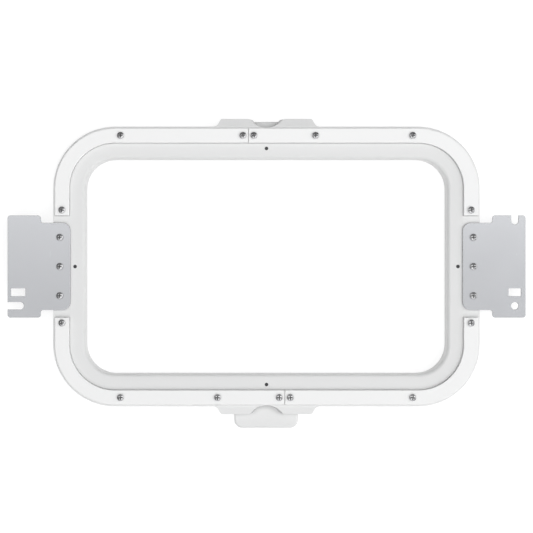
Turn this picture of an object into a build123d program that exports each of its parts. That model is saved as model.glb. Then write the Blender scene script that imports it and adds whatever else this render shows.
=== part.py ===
from build123d import *
import math
import os

# Magnetic embroidery hoop: two white moulded rings held together by magnets, with sheet-metal
# brackets for the arms of an embroidery machine. Millimetres. +X runs along the long side to the
# right, +Y to the rear, +Z up. The origin is the centre of the sewing window, on the plane that
# the lower ring rests on.

# --- driving dimensions: the rings ---
window_length = 316.0
window_width = 188.0
window_corner_radius = 26.0
band_width = 28.0
lower_ring_height = 9.0
upper_ring_height = 8.0
lower_ring_inset = 0.5
lip_drop = 0.6
lip_fillet_radius = 3.0
edge_round = 0.5
skirt_depth = 3.0
skirt_thickness = 2.5
cloth_clearance = 1.0
skirt_end_clearance = 0.5
dimple_from_seat = 4.4
dimple_radius = 1.6
dimple_depth = 0.8

# --- driving dimensions: tabs and thumb notches ---
tab_reach = 7.0
tab_root_half = 43.5
tab_taper = 3.7
tab_root_round = 5.5
tab_tip_round = 2.2
tab_slope_start = 0.6
tab_drop = 2.0
notch_inset_top = 1.0
notch_inset_bottom = 0.1
notch_top_radius = 19.0
notch_bottom_radius = 13.5
notch_corner_round = 3.0
pull_tab_half = 28.0
pull_tab_reach = 19.9
pull_tab_corner = 7.0
pull_tab_thickness = 6.0
pull_tab_edge_round = 1.8
rear_stub_reach = 5.2
rear_stub_corner = 2.0

# --- driving dimensions: cover strips on top, base strips underneath ---
strip_rim = 1.8
strip_width = 12.6
strip_thickness = 4.2
strip_seat_depth = 1.0
strip_side_clearance = 0.2
strip_edge_round = 0.6
strip_seam_x = 15.8
strip_end_y = 44.3
strip_gap = 0.3
base_strip_width = 11.2
base_strip_thickness = 1.6
base_strip_recess = 0.2

# --- driving dimensions: screws and inserts ---
screw_shank_radius = 1.75
screw_hole_clearance = 0.05
strip_hole_clearance = 0.25
pan_head_radius = 3.0
pan_head_height = 2.3
pan_head_crown = 1.1
strip_screw_grip = 5.0
screw_tip_clearance = 0.6
cross_length = 3.9
cross_width = 0.8
cross_depth = 1.3
driven_turn_step = 37
flat_head_radius = 3.0
base_screw_grip = 4.4
screw_to_end = 4.8
corner_screw_back = 5.0
middle_screw_x = 42.6
insert_radius = 2.5
insert_length = 6.0
bracket_screw_tip_gap = 0.4

# --- driving dimensions: magnets ---
magnet_length = 16.0
magnet_width = 9.0
magnet_thickness = 5.0
magnet_floor = 2.0
magnet_clearance = 0.15
magnet_edge_round = 0.4
magnet_pitch = 24.0
corner_magnets = 3

# --- driving dimensions: machine brackets ---
bracket_thickness = 2.0
bracket_lap = 15.2
bracket_reach = 39.5
bracket_neck_half = 38.0
bracket_wing_half = 44.5
bracket_wing_depth = 28.8
bracket_inner_corner = 7.0
bracket_outer_corner = 2.5
bracket_step_corner = 2.2
bracket_edge_round = 0.25
bracket_screw_pitch = 25.4
bracket_screw_inset = 6.0
bracket_hole_clearance = 0.15
pin_hole_radius = 3.25
pin_hole_edge = 9.3
pin_line_y = -34.2
slot_width = 6.4
slot_depth = 10.9
left_window_edge = 2.9
left_window_length = 12.6
right_window_edge = 3.9
right_window_length = 10.9
bracket_window_y = -22.4
bracket_window_height = 6.8
notch_slot_depth = 4.6

# --- dependent sizes and levels ---
ring_half_x = window_length / 2 + band_width
ring_half_y = window_width / 2 + band_width
tab_tip_half = tab_root_half - tab_taper
parting_level = lower_ring_height
lip_level = lower_ring_height + upper_ring_height
strip_seat_level = lip_level - strip_seat_depth
strip_top_level = strip_seat_level + strip_thickness
bracket_top_level = lip_level + bracket_thickness
strip_outer_offset = band_width - strip_rim
lip_outer_offset = strip_outer_offset - strip_width - strip_side_clearance
dimple_from_window = lip_outer_offset - dimple_from_seat
strip_centre_offset = strip_outer_offset - strip_width / 2
base_strip_ceiling = base_strip_recess + base_strip_thickness
corner_centre_x = window_length / 2 - window_corner_radius
corner_centre_y = window_width / 2 - window_corner_radius
corner_screw_x = corner_centre_x - corner_screw_back
row_y = window_width / 2 + strip_centre_offset
side_x = window_length / 2 + strip_centre_offset
side_screw_y = strip_end_y + screw_to_end
bracket_inner_x = ring_half_x - bracket_lap
bracket_outer_x = ring_half_x + bracket_reach
bracket_step_x = bracket_outer_x - bracket_wing_depth
bracket_screw_x = ring_half_x - bracket_screw_inset
pin_x = bracket_outer_x - pin_hole_edge
overcut = 1.0

QUADRANTS = {"rear_left": (-1, 1), "rear_right": (1, 1), "front_left": (-1, -1), "front_right": (1, -1)}


# --- shared shapes ---
def outline(offset):
    """Window outline grown outward by offset, corners included."""
    return RectangleRounded(
        window_length + 2 * offset, window_width + 2 * offset, window_corner_radius + offset
    )


def prism(sketch, bottom, top):
    """Solid between two levels with the sketch as its section."""
    return extrude(Pos(0, 0, bottom) * sketch, top - bottom)


def corner_rectangle(x_a, x_b, y_a, y_b):
    """Rectangle given by two opposite corners."""
    return Pos((x_a + x_b) / 2, (y_a + y_b) / 2) * Rectangle(abs(x_b - x_a), abs(y_b - y_a))


def cylinder_between(x, y, radius, bottom, top):
    """Upright cylinder between two levels."""
    return prism(Pos(x, y) * Circle(radius), bottom, top)


def top_edges(solid, level):
    """Edges that lie in the horizontal plane at the given level."""
    return solid.edges().filter_by_position(Axis.Z, level - 0.001, level + 0.001)


def round_vertices(sketch, points, radius):
    """Round the corners of a flat sketch that lie at the given points."""
    chosen = [v for v in sketch.vertices() if any(math.dist((v.X, v.Y), p) < 0.01 for p in points)]
    return fillet(chosen, radius)


# --- where screws and magnets go: one list serves both rings ---
def seam_x(side_y):
    """X of the seam between two strips; the front seam is the rear one turned half a turn."""
    return -strip_seam_x * side_y


def row_screw_x(side_y):
    """X of the screws in the rear (side_y = 1) or front (side_y = -1) row, from left to right."""
    rear = [
        -corner_screw_x,
        -strip_seam_x - screw_to_end,
        -strip_seam_x + screw_to_end,
        middle_screw_x,
        corner_screw_x,
    ]
    return sorted(x * side_y for x in rear)


def strip_screw_points(quadrant):
    """Screw centres of one strip: its part of the row, then the one near its end at the side."""
    side_x_sign, side_y = QUADRANTS[quadrant]
    in_row = [x for x in row_screw_x(side_y) if (x - seam_x(side_y)) * side_x_sign > 0]
    return [(x, row_y * side_y) for x in in_row] + [(side_x * side_x_sign, side_screw_y * side_y)]


def base_screw_points(quadrant):
    """The base strips have the same screws and one more under the bracket."""
    side_x_sign, side_y = QUADRANTS[quadrant]
    return strip_screw_points(quadrant) + [(side_x * side_x_sign, bracket_screw_pitch * side_y)]


def row_magnet_places(side_y):
    """Magnets spread evenly between the screws of a row, as (x, y, angle)."""
    places = []
    screws = row_screw_x(side_y)
    for left, right in zip(screws, screws[1:]):
        count = int((right - left) // magnet_pitch) - 1
        for i in range(count):
            x = left + (right - left) * (i + 1) / (count + 1)
            places.append((x, row_y * side_y, 0.0))
    return places


def side_magnet_places(side_x_sign):
    """Magnets round both corners of one side, then the two under the bracket, as (x, y, angle)."""
    places = []
    radius = window_corner_radius + strip_centre_offset
    for side_y in (1, -1):
        for i in range(corner_magnets):
            angle = 90 * (i + 0.5) / corner_magnets
            x = (corner_centre_x + radius * math.cos(math.radians(angle))) * side_x_sign
            y = (corner_centre_y + radius * math.sin(math.radians(angle))) * side_y
            places.append((x, y, 90 + angle * side_x_sign * side_y))
        places.append((side_x * side_x_sign, bracket_screw_pitch / 2 * side_y, 90.0))
    return places


MAGNET_GROUPS = {
    "rear": row_magnet_places(1),
    "front": row_magnet_places(-1),
    "left": side_magnet_places(-1),
    "right": side_magnet_places(1),
}


# --- magnets ---
def magnet_group(places, bottom):
    """Plated blocks standing on the given level, one for each place."""
    block = Pos(0, 0, magnet_thickness / 2) * Box(magnet_length, magnet_width, magnet_thickness)
    block = fillet(block.edges().filter_by(Axis.Z), magnet_edge_round)
    return [Pos(x, y, bottom) * Rot(0, 0, angle) * block for x, y, angle in places]


def magnet_pockets(bottom, top):
    """Pockets for every magnet, between two levels."""
    size_x = magnet_length + 2 * magnet_clearance
    size_y = magnet_width + 2 * magnet_clearance
    pocket = Rectangle(size_x, size_y)
    places = [place for group in MAGNET_GROUPS.values() for place in group]
    return [prism(Pos(x, y) * Rot(0, 0, angle) * pocket, bottom, top) for x, y, angle in places]


# --- screws ---
def cross_recess(top, turn):
    """Cross-shaped driver recess cut down from the given level."""
    bar = Rectangle(cross_length, cross_width) + Rectangle(cross_width, cross_length)
    return prism(Rot(0, 0, turn) * bar, top - cross_depth, top + overcut)


def pan_screw(seat, length, turn):
    """Pan-head screw at x = y = 0 whose head sits on the seat level."""
    rim = pan_head_height - pan_head_crown
    crown_radius = (pan_head_radius**2 + pan_head_crown**2) / (2 * pan_head_crown)
    half_radius = pan_head_radius / 2
    crown_drop = crown_radius - math.sqrt(crown_radius**2 - half_radius**2)
    profile = Polyline(
        (0, 0, -length),
        (screw_shank_radius, 0, -length),
        (screw_shank_radius, 0, 0),
        (pan_head_radius, 0, 0),
        (pan_head_radius, 0, rim),
    )
    crown_middle = (half_radius, 0, pan_head_height - crown_drop)
    crown = ThreePointArc((pan_head_radius, 0, rim), crown_middle, (0, 0, pan_head_height))
    axis_line = Line((0, 0, pan_head_height), (0, 0, -length))
    screw = revolve(make_face(profile + crown + axis_line), Axis.Z)
    return Pos(0, 0, seat) * (screw - cross_recess(pan_head_height, turn))


def flat_screw(face_level, length, turn):
    """Countersunk screw driven upward, its flat head flush with the face level below it."""
    cone_height = flat_head_radius - screw_shank_radius
    profile = Polyline(
        (0, 0, 0),
        (flat_head_radius, 0, 0),
        (screw_shank_radius, 0, cone_height),
        (screw_shank_radius, 0, length),
        (0, 0, length),
        (0, 0, 0),
    )
    screw = revolve(make_face(profile), Axis.Z)
    recess = Rot(180, 0, 0) * cross_recess(0, turn)
    return Pos(0, 0, face_level) * (screw - recess)


def driven_turn(index):
    """Each screw stops at its own angle when it is driven home."""
    return (index * driven_turn_step) % 90


# --- upper ring ---
def tab_outline(side_y):
    """Tapered tab on the ring's outer edge, rear (1) or front (-1), rooted inside the band."""
    edge = ring_half_y * side_y
    tip = (ring_half_y + tab_reach) * side_y
    root = edge - band_width / 2 * side_y
    points = [
        (-tab_root_half, root),
        (-tab_root_half, edge),
        (-tab_tip_half, tip),
        (tab_tip_half, tip),
        (tab_root_half, edge),
        (tab_root_half, root),
    ]
    return make_face(Polyline(*points, close=True))


def upper_outline():
    """Outer outline of the upper ring with both tabs and their rounded corners."""
    flat = outline(band_width) + tab_outline(1) + tab_outline(-1)
    roots = [(x * tab_root_half, y * ring_half_y) for x in (-1, 1) for y in (-1, 1)]
    tips = [(x * tab_tip_half, y * (ring_half_y + tab_reach)) for x in (-1, 1) for y in (-1, 1)]
    flat = round_vertices(flat, roots, tab_root_round)
    return round_vertices(flat, tips, tab_tip_round)


def scoop_section(side_y, level):
    """Section of the thumb scoop: a disc that runs out over the tab's edge with rounded corners."""
    share = (level - parting_level) / upper_ring_height
    radius = notch_bottom_radius + (notch_top_radius - notch_bottom_radius) * share
    inset = notch_inset_bottom + (notch_inset_top - notch_inset_bottom) * share
    centre_y = ring_half_y - inset + radius
    tip_y = ring_half_y + tab_reach
    half_chord = math.sqrt(radius**2 - (centre_y - tip_y) ** 2)
    outside = corner_rectangle(-tab_tip_half, tab_tip_half, tip_y * side_y, 2 * centre_y * side_y)
    section = Pos(0, centre_y * side_y) * Circle(radius) + outside
    mouth = [(x * half_chord, tip_y * side_y) for x in (-1, 1)]
    return Pos(0, 0, level) * round_vertices(section, mouth, notch_corner_round)


def thumb_scoop(side_y):
    """Slanting cone that opens upward and scoops the thumb notch out of a tab."""
    levels = (parting_level - overcut, lip_level + overcut)
    return loft([scoop_section(side_y, level) for level in levels], ruled=True)


def strip_band(half_growth):
    """Flat ring that the cover strips are cut from, grown or shrunk on both edges."""
    inner = strip_outer_offset - strip_width - half_growth
    return outline(strip_outer_offset + half_growth) - outline(inner)


def strip_seat(side_y):
    """Recess for the two strips at the rear or front."""
    near = (strip_end_y - strip_side_clearance) * side_y
    far = ring_half_y * side_y
    return strip_band(strip_side_clearance) & corner_rectangle(-ring_half_x, ring_half_x, near, far)


def lip_slope():
    """Funnel whose wall is the lip: level with the strips' inner edge, lower towards the window."""
    low = Pos(0, 0, lip_level - lip_drop) * outline(0)
    high = Pos(0, 0, lip_level + lip_drop) * outline(2 * lip_outer_offset)
    return loft([low, high], ruled=True)


def tab_slope(side_y):
    """Wedge above a tab, whose top falls towards its tip."""
    start = ring_half_y + tab_slope_start
    length = tab_reach - tab_slope_start
    section = Polyline(
        (0, start * side_y, lip_level),
        (0, (start + 2 * length) * side_y, lip_level - 2 * tab_drop),
        (0, (start + 2 * length) * side_y, lip_level),
        close=True,
    )
    return extrude(Pos(-ring_half_x, 0, 0) * make_face(section), 2 * ring_half_x, dir=(1, 0, 0))


def make_upper_ring():
    """Moulded upper ring: lip, skirt, tabs, seats, pockets and screw holes."""
    ring = prism(upper_outline(), parting_level, lip_level)
    ring = fillet(top_edges(ring, lip_level), edge_round)
    ring -= [tab_slope(side_y) for side_y in (1, -1)]
    ring -= prism(outline(0), parting_level - overcut, lip_level + overcut)
    ring -= lip_slope()
    ring = fillet(top_edges(ring, lip_level - lip_drop), lip_fillet_radius)
    ring += prism(outline(skirt_thickness) - outline(0), parting_level - skirt_depth, parting_level)
    for side_y in (1, -1):
        ring -= thumb_scoop(side_y)
        ring -= prism(strip_seat(side_y), strip_seat_level, lip_level + overcut)
    dimple_floor = lip_level - lip_drop * (1 - dimple_from_window / lip_outer_offset) - dimple_depth
    for x, y in dimple_points():
        ring -= cylinder_between(x, y, dimple_radius, dimple_floor, lip_level + overcut)
    hole_floor = strip_seat_level - strip_screw_grip - screw_tip_clearance
    for quadrant in QUADRANTS:
        for x, y in strip_screw_points(quadrant):
            radius = screw_shank_radius + screw_hole_clearance
            ring -= cylinder_between(x, y, radius, hole_floor, lip_level)
    for x, y in bracket_screw_points(1) + bracket_screw_points(-1):
        ring -= cylinder_between(x, y, insert_radius, lip_level - insert_length, lip_level + overcut)
    ring -= magnet_pockets(parting_level + magnet_floor, lip_level + overcut)
    return ring


def dimple_points():
    """Centres of the four alignment dimples on the lip."""
    x = window_length / 2 + dimple_from_window
    y = window_width / 2 + dimple_from_window
    return [(x, 0), (-x, 0), (0, y), (0, -y)]


# --- cover strips ---
def strip_sketch(quadrant, band, end_y):
    """The stretch of a band that one strip covers, from its seam round the corner to its end."""
    side_x_sign, side_y = QUADRANTS[quadrant]
    seam = seam_x(side_y) + strip_gap / 2 * side_x_sign
    far_x = ring_half_x * side_x_sign
    far_y = ring_half_y * side_y
    return band & corner_rectangle(seam, far_x, end_y * side_y, far_y)


def make_cover_strip(quadrant):
    """Raised cover strip with a softened upper edge and clearance holes."""
    strip = prism(strip_sketch(quadrant, strip_band(0), strip_end_y), strip_seat_level, strip_top_level)
    strip = fillet(top_edges(strip, strip_top_level), strip_edge_round)
    for x, y in strip_screw_points(quadrant):
        radius = screw_shank_radius + strip_hole_clearance
        strip -= cylinder_between(x, y, radius, strip_seat_level - overcut, strip_top_level + overcut)
    return strip


def make_strip_screws(quadrant):
    """Pan-head screws of one cover strip."""
    length = strip_thickness + strip_screw_grip
    return [
        Pos(x, y) * pan_screw(strip_top_level, length, driven_turn(i))
        for i, (x, y) in enumerate(strip_screw_points(quadrant))
    ]


# --- brackets ---
def bracket_screw_points(side_x_sign):
    """Bracket screw centres, one line of three along Y."""
    return [(bracket_screw_x * side_x_sign, bracket_screw_pitch * i) for i in (-1, 0, 1)]


def bracket_blank(side_x_sign):
    """Outline of the sheet: a neck over the ring and a wider wing outside it."""
    inner = bracket_inner_x * side_x_sign
    step = bracket_step_x * side_x_sign
    outer = bracket_outer_x * side_x_sign
    neck = corner_rectangle(inner, outer, -bracket_neck_half, bracket_neck_half)
    wing = corner_rectangle(step, outer, -bracket_wing_half, bracket_wing_half)
    blank = neck + wing
    signs = (-1, 1)
    blank = round_vertices(blank, [(inner, y * bracket_neck_half) for y in signs], bracket_inner_corner)
    blank = round_vertices(blank, [(step, y * bracket_neck_half) for y in signs], bracket_step_corner)
    corners = [(x, y * bracket_wing_half) for x in (step, outer) for y in signs]
    return round_vertices(blank, corners, bracket_outer_corner)


def sheet_window(edge_distance, length, side_x_sign):
    """Rectangular latch window, measured in from the outer edge of the wing."""
    far = (bracket_outer_x - edge_distance) * side_x_sign
    near = (bracket_outer_x - edge_distance - length) * side_x_sign
    low = bracket_window_y - bracket_window_height / 2
    return corner_rectangle(near, far, low, low + bracket_window_height)


def left_cuts():
    """Window and the open slot that takes the arm's pin from the side."""
    bottom_x = slot_depth - bracket_outer_x
    slot = Pos(bottom_x, pin_line_y) * Circle(slot_width / 2)
    far_x = -(bracket_outer_x + overcut)
    slot += corner_rectangle(far_x, bottom_x, pin_line_y - slot_width / 2, pin_line_y + slot_width / 2)
    return slot + sheet_window(left_window_edge, left_window_length, -1)


def right_cuts():
    """Window, the round hole for the arm's pin and the notch for its second pin."""
    hole = Pos(pin_x, pin_line_y) * Circle(pin_hole_radius)
    notch_y = bracket_wing_half - notch_slot_depth
    notch = Pos(pin_x, notch_y) * Circle(slot_width / 2)
    half = slot_width / 2
    notch += corner_rectangle(pin_x - half, pin_x + half, notch_y, bracket_wing_half + overcut)
    return hole + notch + sheet_window(right_window_edge, right_window_length, 1)


def make_bracket(side_x_sign, cuts):
    """Flat sheet-metal bracket lying on the lip."""
    blank = bracket_blank(side_x_sign) - cuts
    radius = screw_shank_radius + bracket_hole_clearance
    for x, y in bracket_screw_points(side_x_sign):
        blank -= Pos(x, y) * Circle(radius)
    sheet = prism(blank, lip_level, bracket_top_level)
    return fillet(top_edges(sheet, bracket_top_level), bracket_edge_round)


def make_bracket_screws(side_x_sign):
    """Machine screws that hold one bracket."""
    length = bracket_thickness + insert_length - bracket_screw_tip_gap
    return [
        Pos(x, y) * pan_screw(bracket_top_level, length, driven_turn(i + 4))
        for i, (x, y) in enumerate(bracket_screw_points(side_x_sign))
    ]


def make_inserts(side_x_sign):
    """Brass inserts under one bracket, flush with the lip."""
    tube = Circle(insert_radius) - Circle(screw_shank_radius + screw_hole_clearance)
    return [
        prism(Pos(x, y) * tube, lip_level - insert_length, lip_level)
        for x, y in bracket_screw_points(side_x_sign)
    ]


# --- lower ring ---
def lower_outline():
    """Outer outline of the lower ring, without its tabs."""
    return outline(band_width - lower_ring_inset)


def lower_tab(side_y, reach, corner):
    """Straight tab of the lower ring, rooted inside the band."""
    root = (ring_half_y - band_width / 2) * side_y
    tip = (ring_half_y + reach) * side_y
    flat = corner_rectangle(-pull_tab_half, pull_tab_half, root, tip)
    return round_vertices(flat, [(x * pull_tab_half, tip) for x in (-1, 1)], corner)


def make_lower_tab(side_y, reach, corner):
    """Solid of one lower tab, with its upper and lower outer edges rounded."""
    tab = prism(lower_tab(side_y, reach, corner), parting_level - pull_tab_thickness, parting_level)
    inside = ring_half_y - band_width / 2
    edges = [e for e in tab.edges() if abs(e.center().Y) > inside + 0.1 and abs(e.tangent_at(0.5).Z) < 0.5]
    return fillet(edges, pull_tab_edge_round)


def base_band(half_growth):
    """Flat ring that the base strips are cut from."""
    half = base_strip_width / 2 + half_growth
    return outline(strip_centre_offset + half) - outline(strip_centre_offset - half)


def make_lower_ring():
    """Moulded lower ring: rebate for the skirt, groove for the base strips, pockets and holes."""
    ring = prism(lower_outline() - outline(0), 0, parting_level)
    ring = fillet(ring.faces().sort_by(Axis.Z)[0].outer_wire().edges(), edge_round)
    ring = fillet(ring.faces().filter_by(Axis.Z).sort_by(Axis.Z)[0].inner_wires()[0].edges(), edge_round)
    ring += make_lower_tab(1, rear_stub_reach, rear_stub_corner)
    ring += make_lower_tab(-1, pull_tab_reach, pull_tab_corner)
    rebate_floor = parting_level - skirt_depth - skirt_end_clearance
    ring -= prism(outline(skirt_thickness + cloth_clearance), rebate_floor, parting_level + overcut)
    ring -= prism(base_band(strip_side_clearance), -overcut, base_strip_ceiling)
    hole_top = base_strip_ceiling + base_screw_grip + screw_tip_clearance
    for quadrant in QUADRANTS:
        for x, y in base_screw_points(quadrant):
            ring -= cylinder_between(x, y, screw_shank_radius + screw_hole_clearance, 0, hole_top)
    ring -= magnet_pockets(0, parting_level - magnet_floor)
    return ring


def make_base_strip(quadrant):
    """Thin strip that closes the magnet pockets from below, countersunk for its screws."""
    sketch = strip_sketch(quadrant, base_band(0), strip_gap / 2)
    strip = prism(sketch, base_strip_recess, base_strip_ceiling)
    head = flat_head_radius + strip_hole_clearance
    hole = screw_shank_radius + strip_hole_clearance
    for x, y in base_screw_points(quadrant):
        strip -= cylinder_between(x, y, hole, 0, base_strip_ceiling + overcut)
        sink = Pos(x, y, base_strip_recess + (head - hole) / 2) * Cone(head, hole, head - hole)
        strip -= sink
    return strip


def make_base_screws(quadrant):
    """Countersunk screws of one base strip."""
    length = base_strip_thickness + base_screw_grip
    return [
        Pos(x, y) * flat_screw(base_strip_recess, length, driven_turn(i + 2))
        for i, (x, y) in enumerate(base_screw_points(quadrant))
    ]


# --- assembly ---
def save(node, solids):
    """Write one node, a single solid or a group of separate ones."""
    export_step(Compound(children=solids), f"parts/{node}.step")


def main():
    """Build every node in its place."""
    os.makedirs("parts", exist_ok=True)
    save("upper_ring", [make_upper_ring()])
    save("lower_ring", [make_lower_ring()])
    for quadrant in QUADRANTS:
        save(f"cover_strip_{quadrant}", [make_cover_strip(quadrant)])
        save(f"strip_screws_{quadrant}", make_strip_screws(quadrant))
        save(f"base_strip_{quadrant}", [make_base_strip(quadrant)])
        save(f"base_screws_{quadrant}", make_base_screws(quadrant))
    for side, side_x_sign, cuts in (("left", -1, left_cuts()), ("right", 1, right_cuts())):
        save(f"bracket_{side}", [make_bracket(side_x_sign, cuts)])
        save(f"bracket_screws_{side}", make_bracket_screws(side_x_sign))
        save(f"bracket_inserts_{side}", make_inserts(side_x_sign))
    lower_magnet_level = parting_level - magnet_floor - magnet_thickness
    for group, places in MAGNET_GROUPS.items():
        save(f"upper_magnets_{group}", magnet_group(places, parting_level + magnet_floor))
        save(f"lower_magnets_{group}", magnet_group(places, lower_magnet_level))


main()
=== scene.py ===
import math
import bpy
import numpy as np
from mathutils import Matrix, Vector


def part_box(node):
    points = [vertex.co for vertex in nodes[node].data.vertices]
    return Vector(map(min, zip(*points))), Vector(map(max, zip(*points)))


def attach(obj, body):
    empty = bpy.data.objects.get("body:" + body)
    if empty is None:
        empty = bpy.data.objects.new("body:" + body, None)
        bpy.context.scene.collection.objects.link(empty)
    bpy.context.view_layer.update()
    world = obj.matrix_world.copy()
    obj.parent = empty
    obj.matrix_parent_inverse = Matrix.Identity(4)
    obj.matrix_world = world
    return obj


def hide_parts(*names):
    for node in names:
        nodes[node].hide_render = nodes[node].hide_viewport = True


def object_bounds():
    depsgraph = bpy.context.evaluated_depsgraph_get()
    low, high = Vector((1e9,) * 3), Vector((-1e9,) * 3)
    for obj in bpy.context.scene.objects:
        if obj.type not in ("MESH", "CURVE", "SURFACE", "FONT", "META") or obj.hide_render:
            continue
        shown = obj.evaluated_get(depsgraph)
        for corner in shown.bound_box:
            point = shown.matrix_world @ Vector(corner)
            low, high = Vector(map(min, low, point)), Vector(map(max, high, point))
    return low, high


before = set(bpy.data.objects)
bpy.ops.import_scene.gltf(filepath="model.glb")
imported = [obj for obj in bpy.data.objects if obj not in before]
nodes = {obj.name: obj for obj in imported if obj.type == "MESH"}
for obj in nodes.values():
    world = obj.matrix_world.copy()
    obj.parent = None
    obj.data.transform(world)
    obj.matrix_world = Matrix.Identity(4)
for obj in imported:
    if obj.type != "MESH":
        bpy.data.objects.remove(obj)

# Magnetic embroidery hoop: its finishes, its detailed screws, and the floor, camera and light.
cad_low, cad_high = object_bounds()
MM = 0.001

# --- sizes of the hoop ---
BAND = 28.0 * MM
TAB_REACH = 7.0 * MM
TAB_DROP = 2.0 * MM
TAB_SLOPE_RUN = 6.4 * MM
DOT_FROM_WINDOW = 9.0 * MM
DOT_RADIUS = 1.6 * MM
DARK_DOT_EDGE = (0.93 * DOT_RADIUS, 1.02 * DOT_RADIUS)

# --- places read from the frame ---
ring_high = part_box("upper_ring")[1]
LIP_LEVEL = ring_high[2]
RING_HALF_Y = ring_high[1] - TAB_REACH
WINDOW_HALF_X = ring_high[0] - BAND

# --- painted shade in the thumb scoops: each span is where it comes in or fades out ---
WALL_DEPTH = (0.3 * MM, 2.5 * MM)  # below the tab's top
WALL_SIDE = (15.0 * MM, 16.5 * MM)  # from the middle of the tab
WALL_INNER = (-1.5 * MM, -1.0 * MM)  # past the ring's edge
WALL_PAINTED_SHADE = 0.31
SCOOP_CENTRE = 13.4 * MM  # past the ring's edge
CRESCENT_START = (8.5 * MM, 13.5 * MM)  # from the scoop's centre
CRESCENT_END = (14.5 * MM, 18.0 * MM)  # from the scoop's centre
CRESCENT_OUTER = (5.5 * MM, 9.0 * MM)  # past the ring's edge
CRESCENT_PAINTED_SHADE = 0.22


# --- material maths ---
MIX_COLOUR_A, MIX_COLOUR_B, MIX_COLOUR_OUT = 6, 7, 2  # a Mix node's sockets for colours


class Signal:
    """One output socket of a material, used in Python expressions."""

    def __init__(self, finish, socket):
        self.finish = finish
        self.socket = socket

    def maths(self, operation, *values):
        """One Math node of the given kind on this signal and the other values."""
        inputs = dict(enumerate((self, *values)))
        return self.finish.node("ShaderNodeMath", inputs, operation=operation)

    def __add__(self, other):
        return self.maths("ADD", other)

    __radd__ = __add__

    def __mul__(self, other):
        return self.maths("MULTIPLY", other)

    __rmul__ = __mul__

    def __sub__(self, other):
        return self.maths("SUBTRACT", other)

    def __rsub__(self, other):
        return self.maths("MULTIPLY", -1.0) + other

    def __pow__(self, other):
        return self.maths("POWER", other)

    def size(self):
        """Value without its sign."""
        return self.maths("ABSOLUTE")

    def rising(self, low, high):
        """0 below low, 1 above high, and a smooth rise between them."""
        inputs = {"Value": self, "From Min": low, "From Max": high}
        settings = {"interpolation_type": "SMOOTHSTEP", "clamp": True}
        return self.finish.node("ShaderNodeMapRange", inputs, **settings)


class Finish:
    """A material under construction, with its nodes and its surface shader."""

    def __init__(self, name, **constants):
        self.material = bpy.data.materials.new(name)
        self.material.use_nodes = True
        self.tree = self.material.node_tree
        self.shader = self.tree.nodes["Principled BSDF"]
        for socket, value in constants.items():
            self.shader.inputs[socket.replace("_", " ")].default_value = value

    def node(self, kind, inputs=None, output=0, **settings):
        """One node of a kind: its settings first, then the values or links of its sockets."""
        made = self.tree.nodes.new(kind)
        for name, value in settings.items():
            setattr(made, name, value)
        for key, value in (inputs or {}).items():
            if isinstance(value, Signal):
                self.tree.links.new(value.socket, made.inputs[key])
            else:
                made.inputs[key].default_value = value
        return Signal(self, made.outputs[output])

    def place(self):
        """Position on the object, in metres."""
        return self.node("ShaderNodeTexCoord", output="Object")

    def stretched(self, scale):
        """Position stretched differently along each axis."""
        return self.node("ShaderNodeMapping", {"Vector": self.place(), "Scale": scale})

    def axes(self):
        """X, Y and Z of the position as three signals."""
        made = self.node("ShaderNodeSeparateXYZ", {"Vector": self.place()})
        outputs = made.socket.node.outputs
        return [Signal(self, outputs[i]) for i in range(3)]

    def noise(self, vector, grain, detail):
        """Cloudy noise whose lumps are about grain metres across."""
        inputs = {"Vector": vector, "Scale": 1.0 / grain, "Detail": detail}
        return self.node("ShaderNodeTexNoise", inputs)

    def blend_colours(self, factor, colour_a, colour_b):
        """Colour a where the factor is 0 and colour b where it is 1."""
        inputs = {"Factor": factor, MIX_COLOUR_A: colour_a, MIX_COLOUR_B: colour_b}
        return self.node("ShaderNodeMix", inputs, output=MIX_COLOUR_OUT, data_type="RGBA")

    def feed(self, socket, value):
        """Link a signal to one socket of the surface shader."""
        self.tree.links.new(value.socket, self.shader.inputs[socket])

    def bump(self, height, depth, strength):
        """Raise the surface by the height signal times a depth in metres."""
        inputs = {"Height": height, "Distance": depth, "Strength": strength}
        self.feed("Normal", self.node("ShaderNodeBump", inputs))


def colour(red, green, blue):
    """Colour with full alpha."""
    return (red, green, blue, 1.0)


# --- finishes ---
def thumb_scoop_painted_shade(finish, upper):
    """Share of painted shade in the two thumb scoops, 0 elsewhere: on the upper ring their walls, and
    on the lower ring a soft crescent along the foot of the walls."""
    x, y, z = finish.axes()
    past_edge = y.size() - RING_HALF_Y
    if upper:
        depth = LIP_LEVEL - past_edge * (TAB_DROP / TAB_SLOPE_RUN) - z
        beside = 1.0 - x.size().rising(*WALL_SIDE)
        # painted shade on the scoop walls of the upper ring
        return depth.rising(*WALL_DEPTH) * beside * past_edge.rising(*WALL_INNER) * WALL_PAINTED_SHADE
    reach = (x**2.0 + (past_edge - SCOOP_CENTRE) ** 2.0) ** 0.5
    crescent = reach.rising(*CRESCENT_START) * (1.0 - reach.rising(*CRESCENT_END))
    return crescent * (1.0 - past_edge.rising(*CRESCENT_OUTER)) * CRESCENT_PAINTED_SHADE


def dimple_near_black(finish):
    """1 in the four alignment dimples, one in the middle of each side, and 0 elsewhere; there the
    colour is near black.
    """
    x, y, z = finish.axes()
    side_x = WINDOW_HALF_X + DOT_FROM_WINDOW
    side_y = RING_HALF_Y - BAND + DOT_FROM_WINDOW
    beside_x = (x.size() - side_x) ** 2.0 + y**2.0
    beside_y = x**2.0 + (y.size() - side_y) ** 2.0
    nearest = beside_x.maths("MINIMUM", beside_y) ** 0.5
    near_lip = z.rising(LIP_LEVEL - 3 * MM, LIP_LEVEL - 2 * MM)
    return (1.0 - nearest.rising(*DARK_DOT_EDGE)) * near_lip


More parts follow.
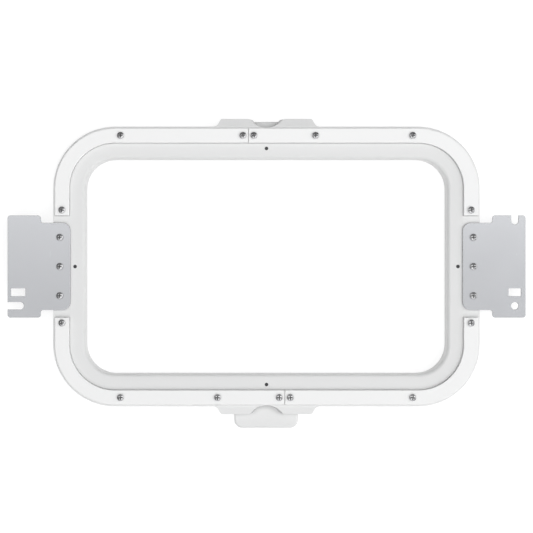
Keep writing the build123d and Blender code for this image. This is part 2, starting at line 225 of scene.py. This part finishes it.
def ring_plastic(name, upper):
    """Satin white moulded plastic with a fine grain and painted shade in the thumb scoops, and with
    the upper ring's dimples coloured near black."""
    finish = Finish(name, IOR=1.46)
    place = finish.place()
    cloud = finish.noise(place, 60 * MM, 3.0)
    grain = finish.noise(place, 0.35 * MM, 2.0)
    scuff = finish.noise(finish.stretched((1.0, 6.0, 1.0)), 4 * MM, 4.0).rising(0.52, 0.72)
    white = finish.blend_colours(cloud, colour(0.742, 0.745, 0.742), colour(0.766, 0.766, 0.760))
    # painted shade: the thumb scoops' walls and the crescent at their foot darkened towards grey
    white = finish.blend_colours(thumb_scoop_painted_shade(finish, upper), white, colour(0.30, 0.30, 0.30))
    if upper:
        # the four alignment dimples coloured near black
        white = finish.blend_colours(dimple_near_black(finish), white, colour(0.03, 0.03, 0.032))
    finish.feed("Base Color", white)
    finish.feed("Roughness", 0.44 + scuff * 0.06 + grain * 0.05)
    finish.bump(grain, 0.02 * MM, 0.35)
    return finish.material


def strip_plastic():
    """Brighter, smoother white of the cover strips."""
    finish = Finish("strip_white", IOR=1.47)
    place = finish.place()
    cloud = finish.noise(place, 90 * MM, 2.0)
    ripple = finish.noise(place, 3 * MM, 2.0)
    white = finish.blend_colours(cloud, colour(0.868, 0.868, 0.865), colour(0.888, 0.888, 0.882))
    finish.feed("Base Color", white)
    finish.feed("Roughness", 0.30 + ripple * 0.08)
    finish.bump(ripple, 0.01 * MM, 0.3)
    return finish.material


def satin_sheet():
    """Satin stainless sheet with a faint rolling grain along its length."""
    finish = Finish("satin_sheet", Metallic=0.65)
    lines = finish.noise(finish.stretched((1.0, 0.03, 1.0)), 0.25 * MM, 3.0)
    cloud = finish.noise(finish.place(), 25 * MM, 3.0)
    grey = finish.blend_colours(cloud, colour(0.402, 0.408, 0.422), colour(0.426, 0.432, 0.444))
    finish.feed("Base Color", grey)
    finish.feed("Roughness", 0.21 + lines * 0.06 + cloud * 0.03)
    finish.bump(lines, 0.004 * MM, 0.4)
    return finish.material


def plated(name, tone_a, tone_b, roughness):
    """Plated or machined metal with a fine texture and slight clouding, and painted shade darkening a
    driver recess.
    """
    finish = Finish(name, Metallic=1.0)
    cloud = finish.noise(finish.place(), 2 * MM, 3.0)
    fine = finish.noise(finish.place(), 0.15 * MM, 2.0)
    recess = finish.node("ShaderNodeAttribute", output="Fac", attribute_name="recess")
    tone = finish.blend_colours(cloud, tone_a, tone_b)
    # painted shade: the base colour darkened towards black with the depth of the recess
    shade = recess.rising(0.0, 0.6) * 0.85
    finish.feed("Base Color", finish.blend_colours(shade, tone, colour(0.02, 0.02, 0.02)))
    finish.feed("Roughness", roughness + fine * 0.10)
    finish.bump(fine, 0.003 * MM, 0.4)
    return finish.material


def dress(material, *prefixes):
    """Give a finish to every CAD node whose name starts with one of the prefixes."""
    for name, piece in nodes.items():
        if name.startswith(prefixes):
            piece.data.materials.clear()
            piece.data.materials.append(material)


def floor_finish():
    """Plain pale floor with the faintest mottle, lit a little from within so that it stays white."""
    glow = {"Emission_Color": colour(1.0, 1.0, 1.0), "Emission_Strength": 0.73}
    finish = Finish("pale_floor", Roughness=0.9, **glow)
    cloud = finish.noise(finish.place(), 0.4, 2.0)
    pale = finish.blend_colours(cloud, colour(0.35, 0.35, 0.35), colour(0.36, 0.36, 0.36))
    finish.feed("Base Color", pale)
    return finish.material


# --- screws ---
HEAD_RISE = 2.3 * MM
HEAD_RADIUS = 3.0 * MM
CROWN = 1.1 * MM
RIM_ROUND = 0.45 * MM
RIM_TAPER = 0.1 * MM
SHANK_RADIUS = 1.75 * MM
NECK_FLARE = 0.2 * MM
TIP_CONE = 0.5 * MM
TIP_BAND = 0.05 * MM
RECESS_REACH = 1.95 * MM
RECESS_HALF_WIDTH = 0.45 * MM
RECESS_DEPTH = 1.35 * MM
RECESS_SOFT = 0.12 * MM
TURN_SPREAD = 0.15
TURN_STEP = 2.4
CROWN_RINGS = 34
SIDES = 96


def smooth_step(value):
    """0 below 0, 1 above 1, with a smooth rise."""
    value = np.clip(value, 0.0, 1.0)
    return value * value * (3.0 - 2.0 * value)


def screw_centres(name):
    """Middle of every screw tip of a node, as rows of x and y: its lowest points, grouped by
    nearness."""
    vertices = nodes[name].data.vertices
    points = np.empty(3 * len(vertices), np.float32)
    vertices.foreach_get("co", points)
    points = points.reshape(-1, 3).astype(float)
    tips = points[points[:, 2] < points[:, 2].min() + TIP_BAND, :2]
    gaps = np.linalg.norm(tips[:, None] - tips[None], axis=2)
    groups = np.argmax(gaps < 2.5 * SHANK_RADIUS, axis=1)
    found = [tips[groups == group] for group in np.unique(groups)]
    return np.array([(group.min(axis=0) + group.max(axis=0)) / 2 for group in found])


def recess_bar(across, along):
    """1 inside one bar of the cross recess and 0 outside: a smooth step at its long walls times one
    at its ends."""
    walls = smooth_step((RECESS_HALF_WIDTH - np.abs(across)) / RECESS_SOFT)
    return walls * smooth_step((RECESS_REACH - np.abs(along)) / RECESS_SOFT)


def recess_fall(across, along):
    """Depth of the cross recess: the deeper of two crossed bars, whose floor climbs evenly from the
    full depth in the middle to half of it at the ends."""
    cross = np.maximum(recess_bar(across, along), recess_bar(along, across))
    reach = np.hypot(across, along) / RECESS_REACH
    return cross * RECESS_DEPTH * (1.0 - 0.5 * np.clip(reach, 0.0, 1.0))


def screw_profile(length):
    """Radius and height along one screw, from the middle of the head to the tip.

    The head is a crown that falls with the square of the radius, then a quarter round into a
    slightly tapered rim; the shank is straight, with a flared neck and a small cone at its end.
    """
    inner = HEAD_RADIUS - RIM_ROUND
    crown_radius = np.linspace(0.0, inner, CROWN_RINGS)
    crown = HEAD_RISE - (CROWN - RIM_ROUND) * (crown_radius / inner) ** 2
    bend = np.linspace(0.2, 1.0, 6) * math.pi / 2
    rim_radius = inner + RIM_ROUND * np.sin(bend)
    rim = crown[-1] - RIM_ROUND + RIM_ROUND * np.cos(bend)
    low = [
        (HEAD_RADIUS - RIM_TAPER, 0.0),
        (SHANK_RADIUS + NECK_FLARE, 0.0),
        (SHANK_RADIUS, -NECK_FLARE),
        (SHANK_RADIUS, TIP_CONE - length),
        (SHANK_RADIUS - TIP_CONE, -length),
        (0.0, -length),
    ]
    low_radius, low_height = zip(*low)
    radius = np.concatenate([crown_radius, rim_radius, low_radius])
    return radius, np.concatenate([crown, rim, low_height])


def one_screw(centre, seat, length, turn):
    """Points of one screw as x, y, z and share of the recess depth: its profile turned round the
    axis, with the recess pressed into the crown."""
    radius, height = screw_profile(length)
    angle = np.arange(SIDES) * 2 * math.pi / SIDES
    across = radius[:, None] * np.cos(angle + turn)
    along = radius[:, None] * np.sin(angle + turn)
    fall = recess_fall(across, along) * (np.arange(len(radius)) < CROWN_RINGS)[:, None]
    x = centre[0] + radius[:, None] * np.cos(angle)
    y = centre[1] + radius[:, None] * np.sin(angle)
    rows = np.stack([x, y, seat + height[:, None] - fall, fall / RECESS_DEPTH], axis=2)
    return np.vstack([rows[0, :1], rows[1:-1].reshape(-1, 4), rows[-1, :1]])


def screw_faces(start, rows):
    """Faces of one screw with so many rings, its points numbered from start: a fan at each pole and
    squares between, all outward."""
    first = start + 1 + np.arange(SIDES)
    following = start + 1 + (np.arange(SIDES) + 1) % SIDES
    last_ring = (rows - 1) * SIDES
    tip = start + 1 + rows * SIDES
    top = np.stack([np.full(SIDES, start), first, following], axis=1)
    bottom = np.stack([np.full(SIDES, tip), following + last_ring, first + last_ring], axis=1)
    step = (np.arange(rows - 1) * SIDES)[:, None]
    squares = [first + step, first + SIDES + step, following + SIDES + step, following + step]
    return top.tolist() + np.stack(squares, axis=2).reshape(-1, 4).tolist() + bottom.tolist()


def make_screws(name, material):
    """Pan-head screws in place of one CAD node, each with its own turn of the cross recess."""
    low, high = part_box(name)
    seat = high[2] - HEAD_RISE
    centres = screw_centres(name)
    turns = TURN_SPREAD * np.sin(TURN_STEP * np.arange(len(centres)) + len(name))
    points = [one_screw(centre, seat, seat - low[2], turn) for centre, turn in zip(centres, turns)]
    count = len(points[0])
    rows = (count - 2) // SIDES
    faces = [face for k in range(len(points)) for face in screw_faces(count * k, rows)]
    table = np.vstack(points)
    mesh = bpy.data.meshes.new(name)
    mesh.from_pydata(table[:, :3], [], faces)
    mesh.polygons.foreach_set("use_smooth", [True] * len(mesh.polygons))
    mesh.attributes.new("recess", "FLOAT", "POINT").data.foreach_set("value", table[:, 3])
    mesh.materials.append(material)
    piece = bpy.data.objects.new(f"{name}_detailed", mesh)
    bpy.context.scene.collection.objects.link(piece)
    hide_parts(name)
    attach(piece, "upper_ring")


# --- stage ---
def make_floor():
    """Flat floor, a square of forty metres, just under the resting plane."""
    half = 20.0
    level = cad_low[2] - 0.05 * MM
    corners = [(-half, -half), (half, -half), (half, half), (-half, half)]
    mesh = bpy.data.meshes.new("floor")
    mesh.from_pydata([(x, y, level) for x, y in corners], [], [(0, 1, 2, 3)])
    floor = bpy.data.objects.new("floor", mesh)
    bpy.context.scene.collection.objects.link(floor)
    mesh.materials.append(floor_finish())


def make_camera():
    """Camera straight above the hoop, a little left of its middle, with a small shift to frame it."""
    view_width = 464.8 * MM
    height = 1100.0 * MM
    aside = 30.0 * MM
    data = bpy.data.cameras.new("camera")
    data.sensor_width = 36.0
    data.lens = data.sensor_width * height / view_width
    data.shift_x = aside / view_width
    data.clip_start, data.clip_end = 0.01, 50.0
    camera = bpy.data.objects.new("camera", data)
    camera.location = (-aside, 0.0, LIP_LEVEL + height)
    bpy.context.scene.collection.objects.link(camera)
    bpy.context.scene.camera = camera


def soft_lamp(name, place, target, size, watts):
    """Rectangular soft light at a place, turned to face its target."""
    data = bpy.data.lights.new(name, "AREA")
    data.shape = "RECTANGLE"
    data.size, data.size_y = size
    data.energy = watts
    lamp = bpy.data.objects.new(name, data)
    away = np.array(place) - np.array(target)
    flat = math.hypot(away[0], away[1])
    lamp.location = place
    lamp.rotation_euler = (math.atan2(flat, away[2]), 0.0, math.atan2(away[0], -away[1]))
    bpy.context.scene.collection.objects.link(lamp)


def fading(tree, signal, start, end, first, last):
    """Smooth change from the first value to the last as a signal goes from start to end."""
    change = tree.nodes.new("ShaderNodeMapRange")
    change.interpolation_type = "SMOOTHSTEP"
    for key, value in (("From Min", start), ("From Max", end), ("To Min", first), ("To Max", last)):
        change.inputs[key].default_value = value
    tree.links.new(signal, change.inputs["Value"])
    return change.outputs[0]


def make_room():
    """World that is bright overhead and dim towards the horizon, most of all behind the hoop and
    then at its left. A fade is its axis, where it starts and ends, and its first and last value."""
    world = bpy.data.worlds.new("studio")
    bpy.context.scene.world = world
    world.use_nodes = True
    tree = world.node_tree
    place = tree.nodes.new("ShaderNodeTexCoord")
    axes = tree.nodes.new("ShaderNodeSeparateXYZ")
    tree.links.new(place.outputs["Generated"], axes.inputs[0])
    overhead = ("Z", 0.42, 0.90, 0.25, 1.28)
    behind = ("Y", 0.10, 0.58, 1.0, 0.32)
    left = ("X", -0.15, -0.60, 1.0, 0.60)
    fades = (overhead, behind, left)
    strength, *others = [fading(tree, axes.outputs[axis], *span) for axis, *span in fades]
    for other in others:
        product = tree.nodes.new("ShaderNodeMath")
        product.operation = "MULTIPLY"
        tree.links.new(strength, product.inputs[0])
        tree.links.new(other, product.inputs[1])
        strength = product.outputs[0]
    background = tree.nodes["Background"]
    background.inputs["Color"].default_value = colour(0.985, 0.99, 1.0)
    tree.links.new(strength, background.inputs["Strength"])


def make_light():
    """Three soft lamps, a long one above the rear edge and a large one in front and at the right,
    and colours shown without a film curve."""
    middle = (0.0, 0.0, 0.0)
    over_rear, below = (0.0, 0.40, 1.55), (0.0, 0.40, 0.0)
    soft_lamp("over_rear", over_rear, below, size=(2.4, 0.6), watts=5.2)
    soft_lamp("front", (0.2, -1.7, 2.2), middle, size=(2.9, 1.7), watts=14.6)
    soft_lamp("right", (2.0, 0.1, 1.5), middle, size=(1.9, 2.5), watts=14.4)
    bpy.context.scene.view_settings.view_transform = "Standard"


# --- the scene ---
make_camera()
make_room()
make_light()
make_floor()
dress(ring_plastic("ring_white", upper=True), "upper_ring")
dress(ring_plastic("lower_ring_white", upper=False), "lower_ring")
dress(strip_plastic(), "cover_strip", "base_strip")
dress(satin_sheet(), "bracket_left", "bracket_right")
screw_steel = plated("screw_steel", colour(0.38, 0.38, 0.385), colour(0.44, 0.44, 0.445), 0.12)
dress(screw_steel, "strip_screws", "bracket_screws", "base_screws")
for name in sorted(nodes):
    if name.startswith(("strip_screws", "bracket_screws")):
        make_screws(name, screw_steel)
insert_brass = plated("insert_brass", colour(0.70, 0.50, 0.22), colour(0.76, 0.57, 0.28), 0.25)
dress(insert_brass, "bracket_inserts")
magnet_nickel = plated("magnet_nickel", colour(0.60, 0.58, 0.54), colour(0.66, 0.64, 0.60), 0.20)
dress(magnet_nickel, "upper_magnets", "lower_magnets")
